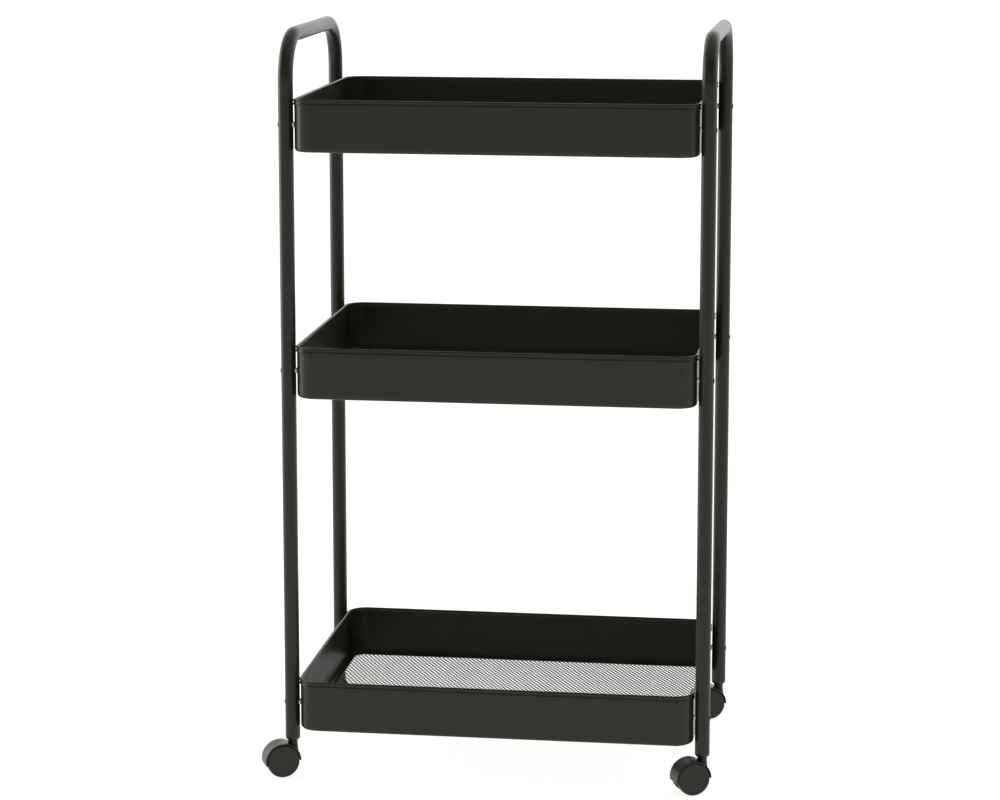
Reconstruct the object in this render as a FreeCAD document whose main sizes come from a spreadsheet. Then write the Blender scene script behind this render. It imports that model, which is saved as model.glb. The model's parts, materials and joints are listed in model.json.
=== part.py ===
"""A three-tier rolling utility cart.

Two bent-tube side frames carry three rimmed trays with mesh floors. Four twin-wheel swivel casters stand
under the frames' posts.

The frame's origin is on the floor, midway between the four posts. +X runs along the trays' length, +Y to the
back and +Z up. Lengths are in millimetres and angles in degrees.
"""

import FreeCAD, Part
import math
import os

import Sketcher
from FreeCAD import Placement, Rotation, Vector

# The driving dimensions: each is one named cell of the sheet.
DIMENSIONS = [
    # Side frames
    ("PostSpacingX", 463.2, "left to right, between tube centre lines"),
    ("PostSpacingY", 285.6, "front to back, between tube centre lines"),
    ("TubeDiameter", 16.6, "outer"),
    ("TubeWall", 1.0, ""),
    ("HandleTop", 842.3, "top of the handle above the floor"),
    ("BendRadius", 50.0, "of the centre line at the handle's corners"),
    ("TubeEnd", 40.9, "lower end of the tubes above the floor"),
    ("SwageLength", 4.6, "length of the drawn-in tube end"),
    ("SwageDiameter", 12.0, "outer, at the tube's mouth"),
    ("SwageKneeDiameter", 16.0, "outer, where the drawn-in end steepens"),
    ("SwageKneeHeight", 1.9, "that place above the tube's mouth"),
    # Trays
    ("TrayLength", 443.8, "over the walls"),
    ("TrayDepth", 325.5, "over the walls"),
    ("TrayHeight", 57.8, "underside to rim top"),
    ("CornerRadius", 22.0, "of the walls in plan"),
    ("SheetThickness", 0.8, ""),
    ("BottomBend", 4.0, "outer radius between wall and flange"),
    ("FlangeInset", 8.0, "wall face to the flange's inner edge"),
    ("RimOverhang", 1.25, "rolled rim beyond the wall"),
    ("RimHeight", 6.8, "height of the rolled rim"),
    ("RimRound", 1.6, "rounding of the rim's upper edge"),
    ("RimLipRound", 0.5, "rounding of the rim's lower lip"),
    ("RimGap", 0.5, "slot between the wall and the rolled lip"),
    ("RimGapDepth", 4.4, "depth of that slot"),
    ("BottomTrayLevel", 56.3, "underside above the floor"),
    ("MiddleTrayLevel", 436.1, "underside above the floor"),
    ("TopTrayLevel", 709.4, "underside above the floor"),
    ("MeshThickness", 0.8, ""),
    ("MeshInset", 5.2, "wall face to the mesh panel's edge"),
    # Fasteners through post, spacer and tray wall
    ("ScrewDiameter", 4.0, ""),
    ("ScrewHole", 4.2, ""),
    ("HeadDiameter", 6.8, ""),
    ("HeadHeight", 1.4, ""),
    ("HeadEdge", 0.6, "height of the head's straight side"),
    ("HeadShoulder", 1.15, "height of the head's shoulder"),
    ("HeadShoulderDiameter", 5.3, ""),
    ("HeadTopDiameter", 3.6, ""),
    ("HeadSeat", 7.5, "tube centre to the flat under the head"),
    ("SeatClearance", 0.15, "around the head in its seat"),
    ("SocketFlats", 2.5, "hexagon socket in the head"),
    ("SocketDepth", 0.9, ""),
    ("ScrewReach", 5.0, "screw end beyond the wall's inner face"),
    ("ScrewTip", 0.5, "chamfer of the screw's end"),
    ("NutFlats", 7.0, ""),
    ("NutThickness", 3.2, ""),
    ("NutGap", 1.2, "to the wall's inner face, so that the nuts clear the start of the corners"),
    ("SpacerDiameter", 6.2, ""),
    # Casters
    ("WheelDiameter", 37.0, ""),
    ("WheelWidth", 6.0, ""),
    ("WheelSpacing", 10.8, "between the wheels' inner faces"),
    ("WheelFace", 1.5, "thickness of a wheel's closed outer face"),
    ("WheelWeb", 2.5, "thickness of a wheel's disc"),
    ("WheelHubDiameter", 12.0, ""),
    ("WheelRimThickness", 2.5, ""),
    ("TreadRound", 1.2, "outer edge of the tread"),
    ("Trail", 13.5, "swivel axis to wheel axle"),
    ("AxleDiameter", 5.0, ""),
    ("HoodRadius", 20.5, "outer"),
    ("HoodWidth", 23.0, ""),
    ("WheelClearance", 0.6, "wheel to hood, radially"),
    ("WebThickness", 10.0, "housing between the wheels"),
    ("WebDrop", 7.0, "web below the axle"),
    ("WebHalfLength", 6.5, "half of the web's flat lower edge"),
    ("WebSlope", 4.0, "length of the sloped edges beside it"),
    ("HoodTipDrop", 4.0, "hood's rear tip below the axle"),
    ("HoodRound", 0.5, "outer edges of the hood"),
    ("NeckDiameter", 10.8, ""),
    ("NeckBase", 4.0, "neck's hidden lower end above the axle"),
    ("FlareHeight", 17.0, "where the neck starts to widen, above the axle"),
    ("SwivelPlay", 0.3, "stem flange to neck"),
    ("BearingPlay", 0.05, "radial play of a turning fit"),
    ("StemDiameter", 8.0, "threaded part in the tube insert"),
    ("StemTop", 64.0, "above the floor"),
    ("StemChamfer", 1.0, ""),
    ("StemFlange", 11.0, "diameter"),
    ("StemFlangeThickness", 1.0, ""),
    ("PinDiameter", 7.0, "swivel pin"),
    ("PinEnd", 22.5, "lower end above the floor"),
    ("PinEndPlay", 0.6, "below the swivel pin"),
    ("PinChamfer", 0.5, ""),
    ("RingGroove", 25.7, "underside of the retaining ring above the floor"),
    ("RingThickness", 0.8, ""),
    ("RingOuter", 8.4, "diameter"),
    ("RingInner", 5.8, "diameter"),
    ("RingMouth", 2.9, "opening of the ring"),
    ("RingRoom", 0.3, "free space around the ring in the housing"),
    # Rest directions of the casters, about the swivel axis from +X
    ("SwivelFrontLeft", 25.0, ""),
    ("SwivelFrontRight", 26.0, ""),
    ("SwivelRearLeft", 22.0, ""),
    ("SwivelRearRight", 20.0, ""),
]

TINY = 1e-9
# How closely an edge is matched when it is looked for.
NEAR = 1e-4
FULL_TURN = 360.0
# Reach of a cut beyond everything it has to clear.
FAR = 60.0

TUBE_RADIUS = "Dims.TubeDiameter / 2"
POST_X = "Dims.PostSpacingX / 2"
POST_Y = "Dims.PostSpacingY / 2"
TRAY_X = "Dims.TrayLength / 2"
TRAY_Y = "Dims.TrayDepth / 2"
SCREW_LEVEL = "Dims.TrayHeight / 2"
AXLE_X = "-Dims.Trail"
AXLE_Z = "Dims.WheelDiameter / 2"

TRAYS = {"bottom": "Dims.BottomTrayLevel", "middle": "Dims.MiddleTrayLevel", "top": "Dims.TopTrayLevel"}

# Each caster: the signs of its post's X and Y, and the cell that holds its rest direction.
CASTERS = {
    "front_left": (-1, -1, "Dims.SwivelFrontLeft"),
    "front_right": (1, -1, "Dims.SwivelFrontRight"),
    "rear_left": (-1, 1, "Dims.SwivelRearLeft"),
    "rear_right": (1, 1, "Dims.SwivelRearRight"),
}

doc = FreeCAD.newDocument("utility_cart")
sheet = doc.addObject("Spreadsheet::Sheet", "Dims")
for row, (alias, number, note) in enumerate(DIMENSIONS, start=1):
    sheet.set(f"A{row}", alias)
    sheet.set(f"B{row}", str(number))
    sheet.setAlias(f"B{row}", alias)
    sheet.set(f"C{row}", note)
doc.recompute()

sub_parts = []


# ---------------------------------------------------------------- sketch and feature helpers


def value(text):
    """The number that an expression of the sheet's cells gives."""
    return float(sheet.evalExpression(text))


def new_body(label):
    """An empty sub-part."""
    body = doc.addObject("PartDesign::Body", label)
    body.Label = label
    sub_parts.append(body)
    return body


def origin_plane(body, role):
    """One of the body's own origin planes or axes."""
    return next(item for item in body.Origin.OriginFeatures if item.Role == role)


def new_sketch(body, role, name, offset=None):
    """A sketch on an origin plane of the body, moved along the plane's normal by an expression."""
    sketch = body.newObject("Sketcher::SketchObject", name)
    sketch.AttachmentSupport = (origin_plane(body, role), [""])
    sketch.MapMode = "FlatFace"
    if offset:
        sketch.setExpression("AttachmentOffset.Base.z", offset)
    return sketch


def hold(sketch, kind, number, text, *place):
    """Adds a dimension to a sketch and binds it to an expression."""
    index = sketch.addConstraint(Sketcher.Constraint(kind, *place, number))
    sketch.setExpression(f"Constraints[{index}]", text)


def pin_point(sketch, geometry, point, x, y):
    """Holds a sketch point at two expressions, measured from the sketch's origin."""
    for kind, axis, text in (("DistanceX", -2, x), ("DistanceY", -1, y)):
        number = value(text)
        if abs(number) < TINY:
            sketch.addConstraint(Sketcher.Constraint("PointOnObject", geometry, point, axis))
        else:
            hold(sketch, kind, number, text, -1, 1, geometry, point)


def outline(sketch, points):
    """A closed outline of straight edges through corners given as pairs of expressions."""
    corners = [Vector(value(x), value(y), 0) for x, y in points]
    edges = [
        sketch.addGeometry(Part.LineSegment(start, end))
        for start, end in zip(corners, corners[1:] + corners[:1])
    ]
    for edge, following in zip(edges, edges[1:] + edges[:1]):
        sketch.addConstraint(Sketcher.Constraint("Coincident", edge, 2, following, 1))
    for edge, (x, y) in zip(edges, points):
        pin_point(sketch, edge, 1, x, y)


def circle(sketch, x, y, radius):
    """A circle whose centre and radius are expressions."""
    ring = Part.Circle(Vector(value(x), value(y), 0), Vector(0, 0, 1), value(radius))
    geometry = sketch.addGeometry(ring)
    pin_point(sketch, geometry, 3, x, y)
    hold(sketch, "Radius", value(radius), radius, geometry)


def hexagon(sketch, x, y, flats):
    """A regular hexagon about a point, given by its width over flats."""
    corner = f"{flats} / sqrt(3)"
    corners = []
    for turn in range(0, 360, 60):
        corners.append((f"{x} + {corner} * cos({turn} deg)", f"{y} + {corner} * sin({turn} deg)"))
    outline(sketch, corners)


def rounded_rectangle(sketch, half_x, half_y, radius):
    """A rectangle about the sketch's origin, with tangent corner arcs."""
    size = value(radius)
    quarters = [(1, 1), (-1, 1), (-1, -1), (1, -1)]
    arcs = []
    for index, (side_x, side_y) in enumerate(quarters):
        centre = Vector(side_x * (value(half_x) - size), side_y * (value(half_y) - size), 0)
        start = index * math.pi / 2
        ring = Part.Circle(centre, Vector(0, 0, 1), size)
        arcs.append(sketch.addGeometry(Part.ArcOfCircle(ring, start, start + math.pi / 2)))
    for arc, following in zip(arcs, arcs[1:] + arcs[:1]):
        start = sketch.Geometry[arc].EndPoint
        end = sketch.Geometry[following].StartPoint
        side = sketch.addGeometry(Part.LineSegment(start, end))
        sketch.addConstraint(Sketcher.Constraint("Tangent", arc, 2, side, 1))
        sketch.addConstraint(Sketcher.Constraint("Tangent", side, 2, following, 1))
    for arc, (side_x, side_y) in zip(arcs, quarters):
        centre_x = f"{side_x} * ({half_x} - ({radius}))"
        centre_y = f"{side_y} * ({half_y} - ({radius}))"
        pin_point(sketch, arc, 3, centre_x, centre_y)
        hold(sketch, "Radius", size, radius, arc)


def axis_line(sketch, start, end):
    """A construction line to turn a profile about; its ends are pairs of expressions."""
    ends = [Vector(value(x), value(y), 0) for x, y in (start, end)]
    line = sketch.addGeometry(Part.LineSegment(*ends), True)
    pin_point(sketch, line, 1, *start)
    pin_point(sketch, line, 2, *end)


def feature(body, kind, name, profile, **settings):
    """A feature made from a sketch. Settings given as text are expressions, except enumerations."""
    item = body.newObject(f"PartDesign::{kind}", name)
    item.Profile = profile
    for key, setting in settings.items():
        if isinstance(setting, str) and setting.startswith(("Dims.", "(")):
            item.setExpression(key, setting)
        else:
            setattr(item, key, setting)
    profile.Visibility = False
    doc.recompute()
    return item


def cut(body, kind, name, profile, **settings):
    """A feature that removes material, and has to."""
    before = body.Shape.Volume
    item = feature(body, kind, name, profile, **settings)
    if body.Shape.Volume > before - TINY:
        raise RuntimeError(f"{body.Label}: {name} removes nothing")
    return item


def round_edges(body, base, name, radius, chosen):
    """Rounds the edges of a feature for which chosen(edge) holds."""
    edges = [f"Edge{i}" for i, edge in enumerate(base.Shape.Edges, start=1) if chosen(edge)]
    if not edges:
        raise RuntimeError(f"{body.Label}: {name} found no edges")
    item = body.newObject("PartDesign::Fillet", name)
    item.Base = (base, edges)
    item.setExpression("Radius", radius)
    doc.recompute()
    return item


def mirror(body, originals, role, name):
    """Repeats features on the other side of an origin plane."""
    item = body.newObject("PartDesign::Mirrored", name)
    item.Originals = originals
    item.MirrorPlane = (origin_plane(body, role), [""])
    body.Tip = item
    doc.recompute()
    return item


def lies_at(item, level):
    """True if a whole edge or face lies at one height."""
    box = item.BoundBox
    return abs(box.ZMin - level) < NEAR and abs(box.ZMax - level) < NEAR


def place(body, x="0", y="0", z="0", turn=None):
    """Puts a sub-part in the cart: turned about +Z, then moved."""
    body.Placement = Placement(Vector(0, 0, 0), Rotation(Vector(0, 0, 1), 1))
    body.setExpression("Placement.Rotation.Angle", turn or "0")
    for axis, text in zip("xyz", (x, y, z)):
        body.setExpression(f"Placement.Base.{axis}", text)


# ---------------------------------------------------------------- side frames


def side_frame(label, side):
    """One tube bent into an inverted U, with drawn-in ends and three screw holes in each leg."""
    body = new_body(label)
    swage_top = "(Dims.TubeEnd + Dims.SwageLength)"
    bend = "Dims.BendRadius"
    shoulder = f"(Dims.HandleTop - {TUBE_RADIUS} - {bend})"
    top = f"(Dims.HandleTop - {TUBE_RADIUS})"

    path = new_sketch(body, "YZ_Plane", "tube_path")
    inner = value(f"{POST_Y} - {bend}")
    outer = value(POST_Y)
    low, mid, high = value(swage_top), value(shoulder), value(top)
    size = value(bend)
    legs = []
    arcs = []
    for sign in (-1, 1):
        foot, knee = Vector(sign * outer, low, 0), Vector(sign * outer, mid, 0)
        legs.append(path.addGeometry(Part.LineSegment(foot, knee)))
        ring = Part.Circle(Vector(sign * inner, mid, 0), Vector(0, 0, 1), size)
        start = 0 if sign > 0 else math.pi / 2
        arcs.append(path.addGeometry(Part.ArcOfCircle(ring, start, start + math.pi / 2)))
    bar = path.addGeometry(Part.LineSegment(Vector(-inner, high, 0), Vector(inner, high, 0)))
    # A left arc runs from the bar to its leg, a right one from its leg to the bar.
    path.addConstraint(Sketcher.Constraint("Tangent", legs[0], 2, arcs[0], 2))
    path.addConstraint(Sketcher.Constraint("Tangent", legs[1], 2, arcs[1], 1))
    path.addConstraint(Sketcher.Constraint("Tangent", bar, 1, arcs[0], 1))
    path.addConstraint(Sketcher.Constraint("Tangent", bar, 2, arcs[1], 2))
    for sign, leg, arc in zip((-1, 1), legs, arcs):
        pin_point(path, leg, 1, f"{sign} * {POST_Y}", swage_top)
        pin_point(path, arc, 3, f"{sign} * ({POST_Y} - {bend})", shoulder)
        hold(path, "Radius", size, bend, arc)

    wall = new_sketch(body, "XY_Plane", "tube_section", swage_top)
    circle(wall, "0", f"-{POST_Y}", TUBE_RADIUS)
    circle(wall, "0", f"-{POST_Y}", f"{TUBE_RADIUS} - Dims.TubeWall")
    feature(body, "AdditivePipe", "tube", wall, Spine=(path, [""]))

    for sign, name in ((-1, "front"), (1, "back")):
        leg_y = f"{sign} * {POST_Y}"
        ring = new_sketch(body, "YZ_Plane", f"{name}_swage_section")
        mouth = "Dims.SwageDiameter / 2"
        outline(
            ring,
            [
                (f"{leg_y} + {TUBE_RADIUS}", swage_top),
                (f"{leg_y} + Dims.SwageKneeDiameter / 2", "Dims.TubeEnd + Dims.SwageKneeHeight"),
                (f"{leg_y} + {mouth}", "Dims.TubeEnd"),
                (f"{leg_y} + {mouth} - Dims.TubeWall", "Dims.TubeEnd"),
                (f"{leg_y} + {TUBE_RADIUS} - Dims.TubeWall", swage_top),
            ],
        )
        axis_line(ring, (leg_y, "Dims.TubeEnd"), (leg_y, swage_top))
        feature(body, "Revolution", f"{name}_swage", ring, ReferenceAxis=(ring, ["Axis0"]), Angle=FULL_TURN)

    holes = new_sketch(body, "YZ_Plane", "screw_holes")
    seats = new_sketch(body, "YZ_Plane", "head_seats", "Dims.HeadSeat")
    for level in TRAYS.values():
        for sign in (-1, 1):
            spot = (f"{sign} * {POST_Y}", f"{level} + {SCREW_LEVEL}")
            circle(holes, *spot, "Dims.ScrewHole / 2")
            circle(seats, *spot, "Dims.HeadDiameter / 2 + Dims.SeatClearance")
    cut(body, "Pocket", "screw_drillings", holes, SideType="Symmetric", Length=FAR)
    cut(body, "Pocket", "head_spot_faces", seats, Length=FAR, Reversed=True)
    place(body, x=f"{side} * {POST_X}", turn="0" if side > 0 else "180")


# ---------------------------------------------------------------- trays


def tray(label, level):
    """A sheet-metal wall with rounded corners, an inward flange below and a rolled rim above."""
    body = new_body(label)
    shell = new_sketch(body, "XY_Plane", "wall_outline")
    rounded_rectangle(shell, TRAY_X, TRAY_Y, "Dims.CornerRadius")
    block = feature(body, "Pad", "pressing", shell, Length="Dims.TrayHeight")
    base = round_edges(body, block, "outer_bend", "Dims.BottomBend", lambda edge: lies_at(edge, 0))

    rim_top = value("Dims.TrayHeight")
    lip_level = value("Dims.TrayHeight - Dims.RimHeight")
    open_top = [f"Face{i}" for i, face in enumerate(base.Shape.Faces, start=1) if lies_at(face, rim_top)]
    shell_wall = body.newObject("PartDesign::Thickness", "sheet_wall")
    shell_wall.Base = (base, open_top)
    shell_wall.Reversed = True
    shell_wall.setExpression("Value", "Dims.SheetThickness")
    doc.recompute()

    window = new_sketch(body, "XY_Plane", "floor_window")
    inset = "Dims.FlangeInset"
    rounded_rectangle(window, f"{TRAY_X} - {inset}", f"{TRAY_Y} - {inset}", f"Dims.CornerRadius - {inset}")
    cut(body, "Pocket", "floor_opening", window, SideType="Symmetric", Length="Dims.BottomBend")

    rim = new_sketch(body, "XY_Plane", "rim_outline", "(Dims.TrayHeight - Dims.RimHeight)")
    over = "Dims.RimOverhang"
    half = "Dims.SheetThickness / 2"
    rounded_rectangle(rim, f"{TRAY_X} + {over}", f"{TRAY_Y} + {over}", f"Dims.CornerRadius + {over}")
    rounded_rectangle(rim, f"{TRAY_X} - {half}", f"{TRAY_Y} - {half}", f"Dims.CornerRadius - {half}")
    bead = feature(body, "Pad", "rim", rim, Length="Dims.RimHeight")

    def on_rim(edge, z):
        """True for the edges of the rim's outer outline at one level."""
        if not lies_at(edge, z):
            return False
        middle = edge.valueAt((edge.FirstParameter + edge.LastParameter) / 2)
        corner = value(f"{TRAY_X} - Dims.CornerRadius"), value(f"{TRAY_Y} - Dims.CornerRadius")
        across = max(abs(middle.x) - corner[0], 0), max(abs(middle.y) - corner[1], 0)
        return math.hypot(*across) > value(f"Dims.CornerRadius + {over} / 2")

    bead = round_edges(body, bead, "rim_upper_round", "Dims.RimRound", lambda edge: on_rim(edge, rim_top))

    slot = new_sketch(body, "XY_Plane", "rim_slot", "(Dims.TrayHeight - Dims.RimHeight)")
    gap = "Dims.RimGap"
    rounded_rectangle(slot, f"{TRAY_X} + {gap}", f"{TRAY_Y} + {gap}", f"Dims.CornerRadius + {gap}")
    rounded_rectangle(slot, TRAY_X, TRAY_Y, "Dims.CornerRadius")
    lip = cut(body, "Pocket", "rim_underside", slot, Length="Dims.RimGapDepth", Reversed=True)
    round_edges(body, lip, "rim_lip_round", "Dims.RimLipRound", lambda edge: on_rim(edge, lip_level))

    holes = new_sketch(body, "YZ_Plane", "screw_holes")
    for sign in (-1, 1):
        circle(holes, f"{sign} * {POST_Y}", SCREW_LEVEL, "Dims.ScrewHole / 2")
    cut(body, "Pocket", "screw_drillings", holes, SideType="Symmetric", Length="Dims.TrayLength")
    place(body, z=level)


def mesh_floor(label, level):
    """A plain thin panel on the tray's flange; it has the outline of the expanded metal."""
    body = new_body(label)
    panel = new_sketch(body, "XY_Plane", "panel_outline")
    inset = "Dims.MeshInset"
    rounded_rectangle(panel, f"{TRAY_X} - {inset}", f"{TRAY_Y} - {inset}", f"Dims.CornerRadius - {inset}")
    feature(body, "Pad", "panel", panel, Length="Dims.MeshThickness")
    place(body, z=f"{level} + Dims.SheetThickness")


# ---------------------------------------------------------------- fasteners, four to a tray


def screws(label, level):
    """Four button-head screws from the outer side of the posts into the tray."""
    body = new_body(label)
    body.AllowCompound = True
    end = f"{TRAY_X} - Dims.SheetThickness - Dims.ScrewReach"
    seat = f"{POST_X} + Dims.HeadSeat"
    crown = f"{seat} + Dims.HeadHeight"
    shank = "Dims.ScrewDiameter / 2"
    head = "Dims.HeadDiameter / 2"
    originals = []
    sockets = new_sketch(body, "YZ_Plane", "sockets", f"({crown})")
    for sign, name in ((-1, "front"), (1, "back")):
        line = f"{sign} * {POST_Y}"
        half = new_sketch(body, "XY_Plane", f"{name}_section", SCREW_LEVEL)
        outline(
            half,
            [
                (end, line),
                (end, f"{line} + {shank} - Dims.ScrewTip"),
                (f"{end} + Dims.ScrewTip", f"{line} + {shank}"),
                (seat, f"{line} + {shank}"),
                (seat, f"{line} + {head}"),
                (f"{seat} + Dims.HeadEdge", f"{line} + {head}"),
                (f"{seat} + Dims.HeadShoulder", f"{line} + Dims.HeadShoulderDiameter / 2"),
                (crown, f"{line} + Dims.HeadTopDiameter / 2"),
                (crown, line),
            ],
        )
        axis_line(half, (end, line), (seat, line))
        turn = {"ReferenceAxis": (half, ["Axis0"]), "Angle": FULL_TURN}
        originals.append(feature(body, "Revolution", f"{name}_screw", half, **turn))
        hexagon(sockets, line, SCREW_LEVEL, "Dims.SocketFlats")
    originals.append(cut(body, "Pocket", "socket_cuts", sockets, Length="Dims.SocketDepth"))
    mirror(body, originals, "YZ_Plane", "left_side")
    place(body, z=level)


def spacers(label, level):
    """Four sleeves between tray wall and post, hollowed to the tube at one end."""
    body = new_body(label)
    body.AllowCompound = True
    rings = new_sketch(body, "YZ_Plane", "sleeve_section", f"({TRAY_X})")
    tubes = new_sketch(body, "XY_Plane", "post_section")
    for sign in (-1, 1):
        line = f"{sign} * {POST_Y}"
        circle(rings, line, SCREW_LEVEL, "Dims.SpacerDiameter / 2")
        circle(rings, line, SCREW_LEVEL, "Dims.ScrewHole / 2")
        circle(tubes, POST_X, line, TUBE_RADIUS)
    sleeves = feature(body, "Pad", "sleeves", rings, Length=f"({POST_X} - {TRAY_X})")
    saddles = cut(body, "Pocket", "saddles", tubes, Length=FAR, Reversed=True)
    mirror(body, [sleeves, saddles], "YZ_Plane", "left_side")
    place(body, z=level)


def nuts(label, level):
    """Four hexagon nuts on the inside of the tray wall."""
    body = new_body(label)
    body.AllowCompound = True
    far_face = f"({TRAY_X} - Dims.SheetThickness - Dims.NutGap - Dims.NutThickness)"
    section = new_sketch(body, "YZ_Plane", "nut_section", far_face)
    for sign in (-1, 1):
        line = f"{sign} * {POST_Y}"
        hexagon(section, line, SCREW_LEVEL, "Dims.NutFlats")
        circle(section, line, SCREW_LEVEL, "Dims.ScrewDiameter / 2")
    pair = feature(body, "Pad", "right_nuts", section, Length="Dims.NutThickness")
    mirror(body, [pair], "YZ_Plane", "left_side")
    place(body, z=level)


# ---------------------------------------------------------------- casters
# Every piece of a caster is drawn about its swivel axis, on the floor, with the wheel axle towards -X.


def place_at_post(body, corner):
    """Puts a caster's piece under its post, in the caster's rest direction."""
    side_x, side_y, direction = CASTERS[corner]
    place(body, x=f"{side_x} * {POST_X}", y=f"{side_y} * {POST_Y}", turn=direction)


def tube_insert(corner):
    """A threaded plug pressed into the end of the post."""
    body = new_body(f"{corner}_tube_insert")
    section = new_sketch(body, "XY_Plane", "plug_section", "(Dims.TubeEnd + Dims.SwageLength)")
    circle(section, "0", "0", f"{TUBE_RADIUS} - Dims.TubeWall")
    circle(section, "0", "0", "Dims.StemDiameter / 2")
    feature(body, "Pad", "plug", section, Length="(Dims.StemTop - Dims.TubeEnd - Dims.SwageLength)")
    place_at_post(body, corner)


def caster_stem(corner):
    """Thread, flange and swivel pin in one turned piece, with a groove for the retaining ring."""
    body = new_body(f"{corner}_caster_stem")
    thread = "Dims.StemDiameter / 2"
    pin = "Dims.PinDiameter / 2"
    groove = "Dims.RingInner / 2"
    flange = "Dims.StemFlange / 2"
    flange_base = "Dims.TubeEnd - Dims.StemFlangeThickness"
    half = new_sketch(body, "XZ_Plane", "stem_section")
    outline(
        half,
        [
            ("0", "Dims.PinEnd"),
            (f"{pin} - Dims.PinChamfer", "Dims.PinEnd"),
            (pin, "Dims.PinEnd + Dims.PinChamfer"),
            (pin, "Dims.RingGroove"),
            (groove, "Dims.RingGroove"),
            (groove, "Dims.RingGroove + Dims.RingThickness"),
            (pin, "Dims.RingGroove + Dims.RingThickness"),
            (pin, flange_base),
            (flange, flange_base),
            (flange, "Dims.TubeEnd"),
            (thread, "Dims.TubeEnd"),
            (thread, "Dims.StemTop - Dims.StemChamfer"),
            (f"{thread} - Dims.StemChamfer", "Dims.StemTop"),
            ("0", "Dims.StemTop"),
        ],
    )
    feature(body, "Revolution", "turned_stem", half, ReferenceAxis=(half, ["V_Axis"]), Angle=FULL_TURN)
    place_at_post(body, corner)


def retaining_ring(corner):
    """An open ring that snaps into the stem's groove inside the housing."""
    body = new_body(f"{corner}_retaining_ring")
    section = new_sketch(body, "XY_Plane", "ring_section", "Dims.RingGroove")
    circle(section, "0", "0", "Dims.RingOuter / 2")
    circle(section, "0", "0", "Dims.RingInner / 2")
    feature(body, "Pad", "ring", section, Length="Dims.RingThickness")
    mouth = new_sketch(body, "XY_Plane", "mouth", "Dims.RingGroove")
    narrow = "Dims.RingMouth / 2"
    outline(
        mouth,
        [
            ("0", f"-{narrow}"),
            ("Dims.RingOuter", f"-{narrow}"),
            ("Dims.RingOuter", narrow),
            ("0", narrow),
        ],
    )
    cut(body, "Pocket", "ring_mouth", mouth, Length="Dims.RingThickness", Reversed=True)
    place_at_post(body, corner)


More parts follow.
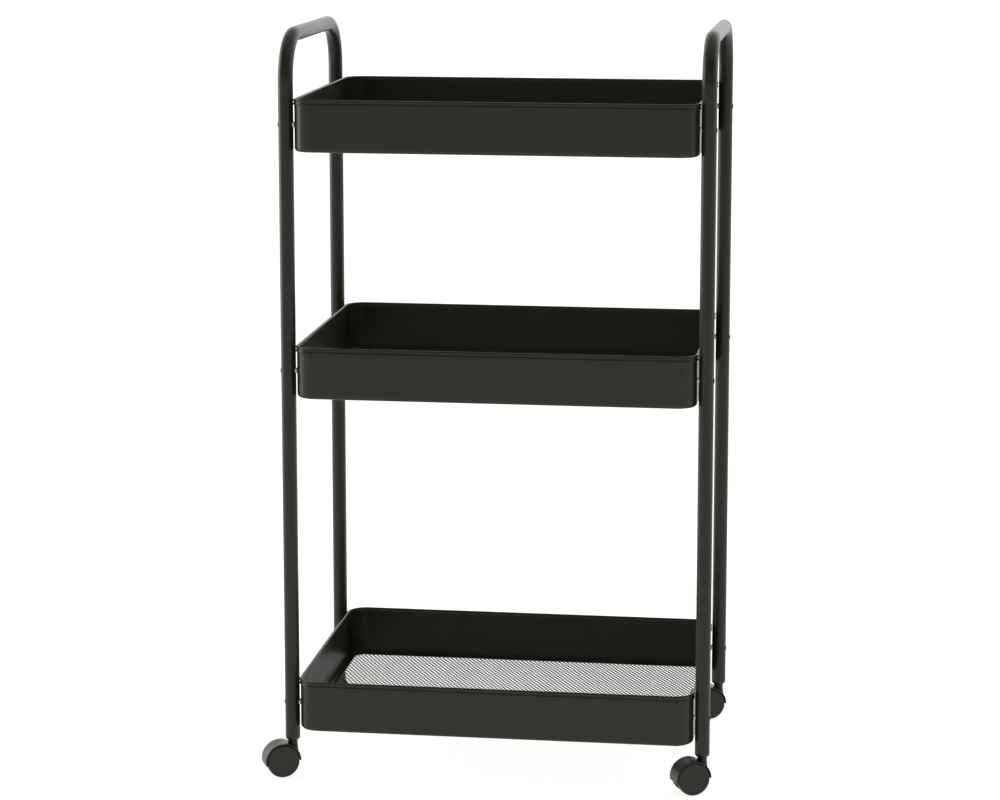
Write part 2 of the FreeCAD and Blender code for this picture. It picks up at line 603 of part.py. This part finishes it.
def caster_housing(corner):
    """A hood over both wheels, the web between them and the neck that turns on the swivel pin."""
    body = new_body(f"{corner}_caster_housing")
    disc = new_sketch(body, "XZ_Plane", "hood_outline")
    circle(disc, AXLE_X, AXLE_Z, "Dims.HoodRadius")
    feature(body, "Pad", "hood_disc", disc, SideType="Symmetric", Length="Dims.HoodWidth")

    neck_top = "Dims.TubeEnd - Dims.StemFlangeThickness - Dims.SwivelPlay"
    neck_base = f"({AXLE_Z} + Dims.NeckBase)"
    neck = new_sketch(body, "XY_Plane", "neck_outline", neck_base)
    circle(neck, "0", "0", "Dims.NeckDiameter / 2")
    feature(body, "Pad", "neck", neck, Length=f"({neck_top} - {neck_base})")

    wide = new_sketch(body, "XY_Plane", "flare_foot", AXLE_Z)
    circle(wide, f"{AXLE_X} + Dims.HoodRadius - Dims.HoodWidth / 2", "0", "Dims.HoodWidth / 2")
    narrow = new_sketch(body, "XY_Plane", "flare_top", f"({AXLE_Z} + Dims.FlareHeight)")
    circle(narrow, "0", "0", "Dims.NeckDiameter / 2")
    feature(body, "AdditiveLoft", "flare", wide, Sections=[narrow])

    below = new_sketch(body, "XZ_Plane", "lower_edge")
    web_level = f"{AXLE_Z} - Dims.WebDrop"
    outline(
        below,
        [
            (f"{AXLE_X} - {FAR}", f"{AXLE_Z} - Dims.HoodTipDrop"),
            (f"{AXLE_X} - Dims.WebHalfLength - Dims.WebSlope", f"{AXLE_Z} - Dims.HoodTipDrop"),
            (f"{AXLE_X} - Dims.WebHalfLength", web_level),
            (f"{AXLE_X} + Dims.WebHalfLength", web_level),
            (f"{AXLE_X} + Dims.WebHalfLength + Dims.WebSlope", AXLE_Z),
            (f"{AXLE_X} + {FAR}", AXLE_Z),
            (f"{AXLE_X} + {FAR}", f"-{FAR}"),
            (f"{AXLE_X} - {FAR}", f"-{FAR}"),
        ],
    )
    cut(body, "Pocket", "open_underside", below, SideType="Symmetric", Length=FAR)

    well = new_sketch(body, "XZ_Plane", "wheel_well", "Dims.WebThickness / 2")
    circle(well, AXLE_X, AXLE_Z, f"{AXLE_Z} + Dims.WheelClearance")
    one_side = cut(body, "Pocket", "right_wheel_well", well, Length=FAR, Reversed=True)
    both = mirror(body, [one_side], "XZ_Plane", "left_wheel_well")

    edge_face = value("Dims.HoodWidth / 2")
    hood_arc = value("Dims.HoodRadius")

    def on_hood_edge(edge):
        """True for the long outer arcs at the hood's two sides."""
        if not isinstance(edge.Curve, Part.Circle) or abs(edge.Curve.Radius - hood_arc) > NEAR:
            return False
        return abs(abs(edge.CenterOfMass.y) - edge_face) < NEAR

    round_edges(body, both, "hood_edge_round", "Dims.HoodRound", on_hood_edge)

    bore = new_sketch(body, "XY_Plane", "swivel_bore", f"({neck_top})")
    circle(bore, "0", "0", "Dims.PinDiameter / 2 + Dims.BearingPlay")
    cut(body, "Pocket", "pin_bore", bore, Length=f"({neck_top} - Dims.PinEnd + Dims.PinEndPlay)")
    room = new_sketch(body, "XZ_Plane", "ring_room")
    reach = "Dims.RingOuter / 2 + Dims.RingRoom"
    outline(
        room,
        [
            ("0", "Dims.RingGroove - Dims.RingRoom"),
            (reach, "Dims.RingGroove - Dims.RingRoom"),
            (reach, "Dims.RingGroove + Dims.RingThickness + Dims.RingRoom"),
            ("0", "Dims.RingGroove + Dims.RingThickness + Dims.RingRoom"),
        ],
    )
    cut(body, "Groove", "ring_recess", room, ReferenceAxis=(room, ["V_Axis"]), Angle=FULL_TURN)

    axle = new_sketch(body, "XZ_Plane", "axle_hole")
    circle(axle, AXLE_X, AXLE_Z, "Dims.AxleDiameter / 2 + Dims.BearingPlay")
    cut(body, "Pocket", "axle_bore", axle, SideType="Symmetric", Length=FAR)
    place_at_post(body, corner)


def caster_axle(corner):
    """The pin that both wheels are pressed on."""
    body = new_body(f"{corner}_caster_axle")
    section = new_sketch(body, "XZ_Plane", "axle_section")
    circle(section, AXLE_X, AXLE_Z, "Dims.AxleDiameter / 2")
    length = "(Dims.WheelSpacing + 2 * (Dims.WheelWidth - Dims.WheelFace))"
    feature(body, "Pad", "axle", section, SideType="Symmetric", Length=length)
    place_at_post(body, corner)


def caster_wheel(corner, side, name):
    """A moulded wheel with a closed outer face and a hollow towards the web."""
    body = new_body(f"{corner}_caster_{name}_wheel")
    inner = f"{side} * Dims.WheelSpacing / 2"
    blind = f"{inner} + {side} * (Dims.WheelWidth - Dims.WheelFace)"
    disc = f"{inner} + {side} * (Dims.WheelWidth - Dims.WheelWeb)"
    outer = f"{inner} + {side} * Dims.WheelWidth"
    tread = f"{AXLE_X} + {AXLE_Z}"
    axle = f"{AXLE_X} + Dims.AxleDiameter / 2"
    hub = f"{AXLE_X} + Dims.WheelHubDiameter / 2"
    rim = f"{tread} - Dims.WheelRimThickness"
    half = new_sketch(body, "XY_Plane", "wheel_section", AXLE_Z)
    outline(
        half,
        [
            (axle, inner),
            (hub, inner),
            (hub, disc),
            (rim, disc),
            (rim, inner),
            (tread, inner),
            (tread, outer),
            (AXLE_X, outer),
            (AXLE_X, blind),
            (axle, blind),
        ],
    )
    axis_line(half, (AXLE_X, inner), (AXLE_X, outer))
    wheel = feature(body, "Revolution", "wheel", half, ReferenceAxis=(half, ["Axis0"]), Angle=FULL_TURN)
    face = value(outer)
    radius = value(AXLE_Z)

    def on_tread_edge(edge):
        """True for the tread's edge at the wheel's outer face."""
        circular = isinstance(edge.Curve, Part.Circle) and abs(edge.Curve.Radius - radius) < NEAR
        return circular and abs(edge.CenterOfMass.y - face) < NEAR

    round_edges(body, wheel, "tread_round", "Dims.TreadRound", on_tread_edge)
    place_at_post(body, corner)


# ---------------------------------------------------------------- the cart

side_frame("left_side_frame", -1)
side_frame("right_side_frame", 1)
for tier, height in TRAYS.items():
    tray(f"{tier}_tray", height)
    mesh_floor(f"{tier}_mesh_floor", height)
    screws(f"{tier}_tray_screws", height)
    spacers(f"{tier}_tray_spacers", height)
    nuts(f"{tier}_tray_nuts", height)
for post in CASTERS:
    tube_insert(post)
    caster_stem(post)
    retaining_ring(post)
    caster_housing(post)
    caster_axle(post)
    caster_wheel(post, 1, "left")
    caster_wheel(post, -1, "right")
doc.recompute()

failed = [item.Label for item in doc.Objects if {"Invalid", "Error"} & set(item.State)]
if failed:
    raise RuntimeError(f"features failed: {failed}")
for part in sub_parts:
    if part.Shape.isNull() or not part.Shape.isValid():
        raise RuntimeError(f"{part.Label} has no valid shape")

os.makedirs("parts", exist_ok=True)
for part in sub_parts:
    part.Shape.exportStep(f"parts/{part.Label}.step")
    print(f"{part.Label}: {len(part.Shape.Solids)} solids, {part.Shape.Volume / 1000:.2f} cm3")
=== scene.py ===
import json
import math

import bmesh
import bpy
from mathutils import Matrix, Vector


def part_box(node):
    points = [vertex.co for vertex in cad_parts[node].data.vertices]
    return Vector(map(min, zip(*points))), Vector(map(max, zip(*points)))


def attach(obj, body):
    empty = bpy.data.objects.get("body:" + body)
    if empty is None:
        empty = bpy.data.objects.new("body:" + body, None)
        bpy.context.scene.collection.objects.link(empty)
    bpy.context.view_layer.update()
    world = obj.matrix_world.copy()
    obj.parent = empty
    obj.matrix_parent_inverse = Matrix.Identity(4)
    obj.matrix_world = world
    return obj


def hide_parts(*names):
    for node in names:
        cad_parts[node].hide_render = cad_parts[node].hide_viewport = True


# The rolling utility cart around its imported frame: the visible surfaces, their materials, the light and the
# camera. Lengths are in metres. +X runs along the trays, +Y to the back and +Z up.

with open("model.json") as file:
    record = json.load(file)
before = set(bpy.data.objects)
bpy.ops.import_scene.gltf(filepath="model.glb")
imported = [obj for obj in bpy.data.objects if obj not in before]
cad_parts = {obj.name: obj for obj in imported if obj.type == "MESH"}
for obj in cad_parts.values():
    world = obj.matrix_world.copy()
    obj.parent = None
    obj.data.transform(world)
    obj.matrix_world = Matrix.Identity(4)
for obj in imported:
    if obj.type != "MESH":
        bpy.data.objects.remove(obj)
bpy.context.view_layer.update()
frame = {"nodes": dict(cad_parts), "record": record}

TIERS = ("bottom", "middle", "top")

# ---------------------------------------------------------------- sizes, read from the frame or set here

tube_low, tube_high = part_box("right_side_frame")
TUBE_RADIUS = (tube_high.x - tube_low.x) / 2
POST_X = (tube_high.x + tube_low.x) / 2
POST_Y = tube_high.y - TUBE_RADIUS
TUBE_END = tube_low.z
HANDLE_LINE = tube_high.z - TUBE_RADIUS
BEND_RADIUS = 0.050
SWAGE_LENGTH = 0.0046
# The drawn-in end: share of its length from the tip upwards, and radius there.
SWAGE_PROFILE = ((0.0, 0.0060), (0.18, 0.0072), (0.42, 0.0080), (0.72, 0.00827), (1.0, TUBE_RADIUS))

RIM_OVERHANG = 0.00125
BEAD_RADIUS = 0.0016
LIP_RADIUS = 0.0008
SHEET = 0.0008
CORNER_RADIUS = 0.022
BOTTOM_BEND = 0.0040
FLANGE_INSET = 0.0080
tray_low, tray_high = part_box("top_tray")
TRAY_X = tray_high.x - RIM_OVERHANG
TRAY_Y = tray_high.y - RIM_OVERHANG
TRAY_HEIGHT = tray_high.z - tray_low.z

# Places on the rolled rim: distance outside the wall, and depth below the tray's top edge.
WAIST = (0.00062, 0.00395)
INNER_WAIST = (-0.0013, 0.0034)
INNER_WALL_DEPTH = 0.0044
LIP_DEPTH = 0.0059
OUTER_WALL_DEPTH = 0.0072
OUTER_SUPPORT_DEPTH = 0.0078

# The expanded metal: one opening's pitch, and the width, thickness and tilt of its strands.
CELL_X = 0.0051
CELL_Y = 0.0098
STRAND = 0.00150
STRAND_THICKNESS = 0.0007
STRAND_TILT = 0.00015
MESH_INSET = 0.0052
# What the strands take off an opening's tips, shoulders and sides, as shares of their width.
TIP_SHARE = 0.55
SHOULDER_SHARE = 0.85
SIDE_SHARE = 0.62

# ---------------------------------------------------------------- mesh helpers


def mesh_object(name, points, faces, material, sharp=math.radians(40)):
    """A smooth-shaded mesh object with sharp edges where the surface turns by more than an angle."""
    mesh = bpy.data.meshes.new(name)
    mesh.from_pydata(points, [], faces)
    mesh.validate()
    shape = bmesh.new()
    shape.from_mesh(mesh)
    bmesh.ops.recalc_face_normals(shape, faces=shape.faces)
    shape.to_mesh(mesh)
    shape.free()
    mesh.shade_smooth()
    mesh.set_sharp_from_angle(angle=sharp)
    mesh.materials.append(material)
    piece = bpy.data.objects.new(name, mesh)
    bpy.context.scene.collection.objects.link(piece)
    return piece


def flat_weights(piece):
    """Lets large flat faces keep their own normals next to small round ones."""
    weights = piece.modifiers.new("face_weights", "WEIGHTED_NORMAL")
    weights.keep_sharp = True
    weights.weight = 60


def ring_faces(rings, around, closed=False):
    """Quads between successive rings of points, with `around` points in each ring."""
    faces = []
    for row in range(rings if closed else rings - 1):
        following = (row + 1) % rings
        for step in range(around):
            ahead = (step + 1) % around
            faces.append(
                (
                    row * around + step,
                    row * around + ahead,
                    following * around + ahead,
                    following * around + step,
                )
            )
    return faces


def on_circle(centre, radius, degrees):
    """A point on a circle in a flat outline."""
    angle = math.radians(degrees)
    return centre[0] + radius * math.cos(angle), centre[1] + radius * math.sin(angle)


def arc(centre, radius, start, end, steps):
    """Points on an arc of a flat outline; angles are in degrees."""
    return [on_circle(centre, radius, start + (end - start) * step / steps) for step in range(steps + 1)]


# ---------------------------------------------------------------- materials

# A Mix node has several sockets of the same name; these are the numbers of the ones for colours.
MIX_FACTOR, MIX_FIRST_COLOUR, MIX_SECOND_COLOUR, MIX_COLOUR_RESULT = 0, 6, 7, 2


class Nodes:
    """A short way to write a material's node tree."""

    def __init__(self, name):
        self.material = bpy.data.materials.new(name)
        self.material.use_nodes = True
        self.tree = self.material.node_tree
        self.shader = self.tree.nodes["Principled BSDF"]
        self.place = self.add("ShaderNodeTexCoord").outputs["Object"]

    def add(self, kind, **inputs):
        """A node; inputs are named by their sockets, with underscores for spaces."""
        node = self.tree.nodes.new(kind)
        for key, setting in inputs.items():
            self.feed(node.inputs[key.replace("_", " ")], setting)
        return node

    def feed(self, socket, setting):
        """Links an output to a socket, or sets the socket's value."""
        if isinstance(setting, bpy.types.NodeSocket):
            self.tree.links.new(setting, socket)
        else:
            socket.default_value = setting

    def noise(self, scale, detail=2.0, roughness=0.5):
        """Noise about the object's own coordinates."""
        node = self.add("ShaderNodeTexNoise", Vector=self.place, Scale=scale, Detail=detail)
        node.inputs["Roughness"].default_value = roughness
        return node.outputs["Fac"]

    def spread(self, source, low, high, start=0.3, end=0.7):
        """Maps a factor onto the range low to high."""
        node = self.add("ShaderNodeMapRange", Value=source)
        for key, setting in (("From Min", start), ("From Max", end), ("To Min", low), ("To Max", high)):
            node.inputs[key].default_value = setting
        return node.outputs["Result"]

    def blend(self, factor, first, second):
        """A colour between two colours."""
        node = self.tree.nodes.new("ShaderNodeMix")
        node.data_type = "RGBA"
        self.feed(node.inputs[MIX_FACTOR], factor)
        self.feed(node.inputs[MIX_FIRST_COLOUR], (*first, 1.0))
        self.feed(node.inputs[MIX_SECOND_COLOUR], (*second, 1.0))
        return node.outputs[MIX_COLOUR_RESULT]

    def bump(self, height, distance, strength=1.0, below=None):
        """A bump whose height runs over a distance in metres."""
        node = self.add("ShaderNodeBump", Height=height, Distance=distance, Strength=strength)
        if below:
            self.feed(node.inputs["Normal"], below)
        return node.outputs["Normal"]

    def finish(self, **inputs):
        """Sets the shader's sockets and returns the material."""
        for key, setting in inputs.items():
            self.feed(self.shader.inputs[key.replace("_", " ")], setting)
        return self.material


def powder_coat(name, colour, roughness):
    """Satin powder coat: orange peel, a finer grain in it, and slightly uneven colour and gloss."""
    nodes = Nodes(name)
    peel = nodes.noise(scale=520.0, detail=1.0)
    grain = nodes.noise(scale=2600.0, detail=2.0)
    cloud = nodes.noise(scale=9.0, detail=3.0)
    darker = tuple(channel * 0.88 for channel in colour)
    lighter = tuple(channel * 1.33 for channel in colour)
    tint = nodes.blend(cloud, darker, lighter)
    relief = nodes.bump(peel, distance=0.00005, strength=0.55)
    relief = nodes.bump(grain, distance=0.00001, strength=0.5, below=relief)
    # Below a roughness of about 0.274 the renderer's denoiser draws faint contour lines on the walls.
    gloss = nodes.spread(cloud, roughness - 0.012, roughness + 0.055, start=0.0, end=1.0)
    return nodes.finish(Base_Color=tint, Roughness=gloss, Normal=relief, IOR=1.36)


def plastic(name, colour, roughness):
    """Moulded nylon with a fine eroded texture."""
    nodes = Nodes(name)
    grain = nodes.noise(scale=3200.0, detail=2.0)
    flow = nodes.noise(scale=60.0, detail=2.0)
    lighter = tuple(channel * 1.25 for channel in colour)
    tint = nodes.blend(nodes.spread(flow, 0.0, 1.0), colour, lighter)
    relief = nodes.bump(grain, distance=0.00002, strength=0.4)
    gloss = nodes.spread(flow, roughness - 0.05, roughness + 0.05)
    return nodes.finish(Base_Color=tint, Roughness=gloss, Normal=relief, IOR=1.38)


def zinc(name):
    """Bright zinc plating with fine drawing marks."""
    nodes = Nodes(name)
    marks = nodes.noise(scale=900.0, detail=3.0, roughness=0.7)
    tint = nodes.blend(nodes.spread(marks, 0.0, 1.0), (0.42, 0.42, 0.41), (0.58, 0.58, 0.56))
    relief = nodes.bump(marks, distance=0.00002, strength=0.3)
    gloss = nodes.spread(marks, 0.29, 0.42)
    return nodes.finish(Base_Color=tint, Roughness=gloss, Normal=relief, Metallic=1.0)


CHARCOAL = (0.0150, 0.0155, 0.0064)

# Each slot's kind of material, colour and roughness.
FINISHES = {
    "frame_powder_coat": (powder_coat, CHARCOAL, 0.29),
    "tray_powder_coat": (powder_coat, CHARCOAL, 0.29),
    "mesh_powder_coat": (powder_coat, CHARCOAL, 0.36),
    "screw_black": (powder_coat, (0.012, 0.012, 0.010), 0.30),
    "housing_plastic": (plastic, (0.0125, 0.0128, 0.0065), 0.34),
    "wheel_plastic": (plastic, (0.0150, 0.0155, 0.0068), 0.42),
    "insert_plastic": (plastic, (0.0120, 0.0122, 0.0095), 0.55),
    "spacer_plastic": (plastic, (0.68, 0.68, 0.65), 0.45),
}
MATERIALS = {slot: make(slot, colour, roughness) for slot, (make, colour, roughness) in FINISHES.items()}
MATERIALS["zinc_steel"] = zinc("zinc_steel")


def dress_cad_nodes():
    """Gives every carried-over CAD node the material of its slot."""
    for entry in frame["record"]["subparts"]:
        node = frame["nodes"][entry["node"]]
        node.data.materials.clear()
        node.data.materials.append(MATERIALS[entry["material_slot"]])


# ---------------------------------------------------------------- side frames


def side_frame(name, side):
    """The bent tube, with drawn-in ends, as one smooth sweep."""
    around = 56
    bend_step = 3
    bend_centre = (BEND_RADIUS - POST_Y, HANDLE_LINE - BEND_RADIUS)
    # Stations along the tube, up its front leg and down its rear one: place, heading and radius.
    stations = []
    for share, radius in SWAGE_PROFILE:
        stations.append(((-POST_Y, TUBE_END + share * SWAGE_LENGTH), 90.0, radius))
    stations.append(((-POST_Y, TUBE_END + 2 * SWAGE_LENGTH), 90.0, TUBE_RADIUS))
    for tilt in range(0, 90 + bend_step, bend_step):
        stations.append((on_circle(bend_centre, BEND_RADIUS, 180 - tilt), 90.0 - tilt, TUBE_RADIUS))
    for point, heading, radius in reversed(list(stations)):
        stations.append(((-point[0], point[1]), -heading, radius))
    points = []
    for (y, z), heading, radius in stations:
        turn = math.radians(heading)
        across = Vector((0.0, -math.sin(turn), math.cos(turn)))
        for step in range(around):
            angle = math.tau * step / around
            offset = Vector((math.cos(angle), 0.0, 0.0)) + across * math.sin(angle)
            points.append(Vector((side * POST_X, y, z)) + offset * radius)
    faces = ring_faces(len(stations), around)
    last = (len(stations) - 1) * around
    faces.append(tuple(range(around)))
    faces.append(tuple(range(last, last + around)))
    piece = mesh_object(name, points, faces, MATERIALS["frame_powder_coat"])
    flat_weights(piece)
    return piece


# ---------------------------------------------------------------- trays


def tray_section():
    """The sheet's closed section: distance outside the wall, and height above the underside."""
    top = TRAY_HEIGHT
    wall_foot = BOTTOM_BEND + SHEET
    bevel = SHEET * 0.1
    bend_centre = (-BOTTOM_BEND, BOTTOM_BEND)
    lip_centre = (RIM_OVERHANG - LIP_RADIUS, top - LIP_DEPTH)
    bead_centre = (RIM_OVERHANG - BEAD_RADIUS, top - BEAD_RADIUS)
    # Outside, from the flange's edge up to the rim: bend, wall, lip, waist and bead.
    section = [(-FLANGE_INSET, bevel), (-FLANGE_INSET + bevel, 0.0)]
    section += arc(bend_centre, BOTTOM_BEND, start=-90, end=0, steps=10)
    section += [(0.0, wall_foot), (0.0, top - OUTER_SUPPORT_DEPTH), (0.0, top - OUTER_WALL_DEPTH)]
    section += arc(lip_centre, LIP_RADIUS, start=-120, end=50, steps=12)
    section += [(WAIST[0], top - WAIST[1])]
    section += arc(bead_centre, BEAD_RADIUS, start=-50, end=200, steps=20)
    # Inside, back down to the flange's edge.
    section += [(INNER_WAIST[0], top - INNER_WAIST[1]), (-SHEET, top - INNER_WALL_DEPTH), (-SHEET, wall_foot)]
    section += arc(bend_centre, BOTTOM_BEND - SHEET, start=0, end=-90, steps=8)
    section += [(-FLANGE_INSET + bevel, SHEET), (-FLANGE_INSET, SHEET * 0.9)]
    return section


def plan_stations(corner_steps=22):
    """Stations round the tray's plan: the corner's centre and the direction outwards."""
    stations = []
    for quarter, (side_x, side_y) in enumerate(((1, 1), (-1, 1), (-1, -1), (1, -1))):
        centre = Vector((side_x * (TRAY_X - CORNER_RADIUS), side_y * (TRAY_Y - CORNER_RADIUS)))
        for step in range(corner_steps + 1):
            angle = math.radians(90 * (quarter + step / corner_steps))
            stations.append((centre, Vector((math.cos(angle), math.sin(angle)))))
    return stations


def tray(name, level):
    """The tray's pressed wall, bottom flange and rolled rim."""
    section = tray_section()
    points = []
    stations = plan_stations()
    for centre, outward in stations:
        for distance, height in section:
            place = centre + outward * (CORNER_RADIUS + distance)
            points.append((place.x, place.y, level + height))
    faces = ring_faces(len(stations), len(section), closed=True)
    piece = mesh_object(name, points, faces, MATERIALS["tray_powder_coat"])
    flat_weights(piece)
    return piece


# ---------------------------------------------------------------- expanded-metal floors


def inside_panel(x, y, margin):
    """True if a point lies within the floor panel's rounded outline, less a margin."""
    radius = CORNER_RADIUS - MESH_INSET
    over_x = max(abs(x) - (TRAY_X - MESH_INSET - radius), 0.0)
    over_y = max(abs(y) - (TRAY_Y - MESH_INSET - radius), 0.0)
    return math.hypot(over_x, over_y) < radius - margin


def expanded_metal(name, level):
    """A sheet of expanded metal: six-cornered openings, staggered by row, its strands slightly tilted."""
    tip = CELL_Y / 2 - STRAND * TIP_SHARE
    shoulder = STRAND * SHOULDER_SHARE
    half = CELL_X / 2 - STRAND * SIDE_SHARE
    # An opening's corners, clockwise from the back tip: place about its middle, and share of the tilt.
    corners = (
        (0.0, tip, 0.0),
        (half, shoulder, -1.0),
        (half, -shoulder, -1.0),
        (0.0, -tip, 0.0),
        (-half, -shoulder, 1.0),
        (-half, shoulder, 1.0),
    )
    back, back_right, front_right, front, front_left, back_left = range(6)
    columns = math.ceil(TRAY_X / CELL_X) + 1
    rows = math.ceil(2 * TRAY_Y / CELL_Y) + 2
    margin = CELL_X * 0.35
    upper, lower, index = [], [], {}

    def middle(cell):
        """The middle of an opening."""
        column, row = cell
        return (column + (row % 2) / 2) * CELL_X, row * CELL_Y / 2

    def corner(cell, which):
        """The number of an opening's corner, made when it is first asked for."""
        if (cell, which) not in index:
            x, y, lean = corners[which]
            middle_x, middle_y = middle(cell)
            height = level + STRAND_TILT * lean
            index[cell, which] = len(upper)
            upper.append((middle_x + x, middle_y + y, height + STRAND_THICKNESS))
            lower.append((middle_x + x, middle_y + y, height))
        return index[cell, which]

    faces = []
    for row in range(-rows, rows + 1):
        for column in range(-columns, columns + 1):
            cell = (column, row)
            right = (column + 1, row)
            ahead_right = (column + row % 2, row + 1)
            ahead_left = (column + row % 2 - 1, row + 1)
            behind_right = (column + row % 2, row - 1)
            # The two slanted strands, and the knuckle between two neighbours with its two pointed ends.
            outlines = (
                ((cell, back), (cell, back_right), (ahead_right, front), (ahead_right, front_left)),
                ((cell, back), (ahead_left, front_right), (ahead_left, front), (cell, back_left)),
                ((cell, back_right), (cell, front_right), (right, front_left), (right, back_left)),
                ((cell, back_right), (right, back_left), (ahead_right, front)),
                ((cell, front_right), (behind_right, back), (right, front_left)),
            )
            for outline in outlines:
                if any(inside_panel(*middle(neighbour), margin) for neighbour, which in outline):
                    faces.append(tuple(corner(neighbour, which) for neighbour, which in outline))
    # The underside, and walls under the edges that only one face uses.
    count = len(upper)
    uses = {}
    for face in faces:
        for start, end in zip(face, face[1:] + face[:1]):
            uses.setdefault((min(start, end), max(start, end)), []).append((start, end))
    solid = list(faces)
    solid += [tuple(number + count for number in reversed(face)) for face in faces]
    for edge in uses.values():
        if len(edge) == 1:
            start, end = edge[0]
            solid.append((end, start, start + count, end + count))
    return mesh_object(name, upper + lower, solid, MATERIALS["mesh_powder_coat"], math.radians(25))


# ---------------------------------------------------------------- the cart

dress_cad_nodes()

for side_name, side in (("left", -1), ("right", 1)):
    node = f"{side_name}_side_frame"
    piece = side_frame(f"{side_name}_bent_tube", side)
    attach(piece, "cart")
    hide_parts(node)

for tier in TIERS:
    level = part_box(f"{tier}_tray")[0].z
    piece = tray(f"{tier}_tray_pressing", level)
    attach(piece, "cart")
    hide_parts(f"{tier}_tray")
    floor_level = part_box(f"{tier}_mesh_floor")[0].z
    piece = expanded_metal(f"{tier}_expanded_metal", floor_level + STRAND_TILT)
    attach(piece, "cart")
    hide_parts(f"{tier}_mesh_floor")


# ---------------------------------------------------------------- floor, light and camera

FLOOR_REACH = 14.0
FLOOR_GREY = 0.42
FLOOR_GLOW = 0.85

# The surroundings' brightness by direction: where a fade starts and ends, and its first and last brightness.
DEPTH_FADE = (-0.6, 0.45, 0.30, 1.5)
HEIGHT_FADE = (0.3, 0.9, 1.0, 0.35)

CAMERA_PLACE = (0.43557, -3.26152, 1.05027)
CAMERA_YAW = 7.861
CAMERA_PITCH = 9.243
CAMERA_SHIFT = -0.090
FOCAL_LENGTH = 104.966
SENSOR_WIDTH = 36.0


def studio_floor():
    """A plain pale floor that glows softly, so that it stays as light as the photograph's."""
    nodes = Nodes("studio_floor")
    material = nodes.finish(
        Base_Color=(FLOOR_GREY, FLOOR_GREY, FLOOR_GREY, 1.0),
        Roughness=0.9,
        Emission_Color=(1.0, 1.0, 1.0, 1.0),
        Emission_Strength=FLOOR_GLOW,
    )
    corners = [(x * FLOOR_REACH, y * FLOOR_REACH, 0.0) for x, y in ((-1, -1), (1, -1), (1, 1), (-1, 1))]
    floor = mesh_object("studio_floor", corners, [(0, 1, 2, 3)], material)


def studio_world():
    """White surroundings, brightest low behind the cart and dimmer in front of it and overhead."""
    world = bpy.data.worlds.new("studio")
    bpy.context.scene.world = world
    world.use_nodes = True
    tree = world.node_tree
    background = tree.nodes["Background"]
    direction = tree.nodes.new("ShaderNodeTexCoord").outputs["Generated"]
    split = tree.nodes.new("ShaderNodeSeparateXYZ")
    tree.links.new(direction, split.inputs[0])

    def fade(axis, start, end, first, last):
        """Brightness that passes smoothly from one value to another along an axis."""
        node = tree.nodes.new("ShaderNodeMapRange")
        node.interpolation_type = "SMOOTHSTEP"
        for key, setting in (("From Min", start), ("From Max", end), ("To Min", first), ("To Max", last)):
            node.inputs[key].default_value = setting
        tree.links.new(split.outputs[axis], node.inputs["Value"])
        return node.outputs["Result"]

    def join(operation, first, second):
        """Two brightnesses joined by an operation."""
        node = tree.nodes.new("ShaderNodeMath")
        node.operation = operation
        tree.links.new(first, node.inputs[0])
        tree.links.new(second, node.inputs[1])
        return node.outputs[0]

    shade = join("MULTIPLY", fade("Y", *DEPTH_FADE), fade("Z", *HEIGHT_FADE))
    # The picture's own background is never darker than white.
    rays = tree.nodes.new("ShaderNodeLightPath")
    tree.links.new(join("MAXIMUM", shade, rays.outputs["Is Camera Ray"]), background.inputs["Strength"])
    background.inputs["Color"].default_value = (1.0, 1.0, 1.0, 1.0)


def softbox(name, place, target, size, power):
    """A square area light aimed at a point."""
    light = bpy.data.lights.new(name, "AREA")
    light.shape = "SQUARE"
    light.size = size
    light.energy = power
    lamp = bpy.data.objects.new(name, light)
    lamp.location = place
    lamp.rotation_mode = "QUATERNION"
    lamp.rotation_quaternion = (Vector(target) - Vector(place)).to_track_quat("-Z", "Y")
    lamp.visible_camera = False
    bpy.context.scene.collection.objects.link(lamp)


def studio_camera():
    """A long lens in front of the cart, to its right and a little above its top."""
    yaw = math.radians(CAMERA_YAW)
    pitch = math.radians(CAMERA_PITCH)
    forward = Vector((-math.sin(yaw) * math.cos(pitch), math.cos(yaw) * math.cos(pitch), -math.sin(pitch)))
    lens = bpy.data.cameras.new("studio_camera")
    lens.sensor_width = SENSOR_WIDTH
    lens.lens = FOCAL_LENGTH
    lens.shift_y = CAMERA_SHIFT
    lens.clip_start = 0.05
    lens.clip_end = 100.0
    camera = bpy.data.objects.new("studio_camera", lens)
    camera.location = CAMERA_PLACE
    camera.rotation_mode = "QUATERNION"
    camera.rotation_quaternion = forward.to_track_quat("-Z", "Y")
    bpy.context.scene.collection.objects.link(camera)
    bpy.context.scene.camera = camera


studio_floor()
studio_world()
softbox("left_softbox", place=(-2.8, 0.3, 0.9), target=(0.0, 0.0, 0.35), size=1.8, power=30.0)
softbox("top_softbox", place=(0.2, -0.2, 2.6), target=(0.0, 0.0, 0.4), size=2.2, power=6.0)
studio_camera()
bpy.context.scene.view_settings.view_transform = "Standard"
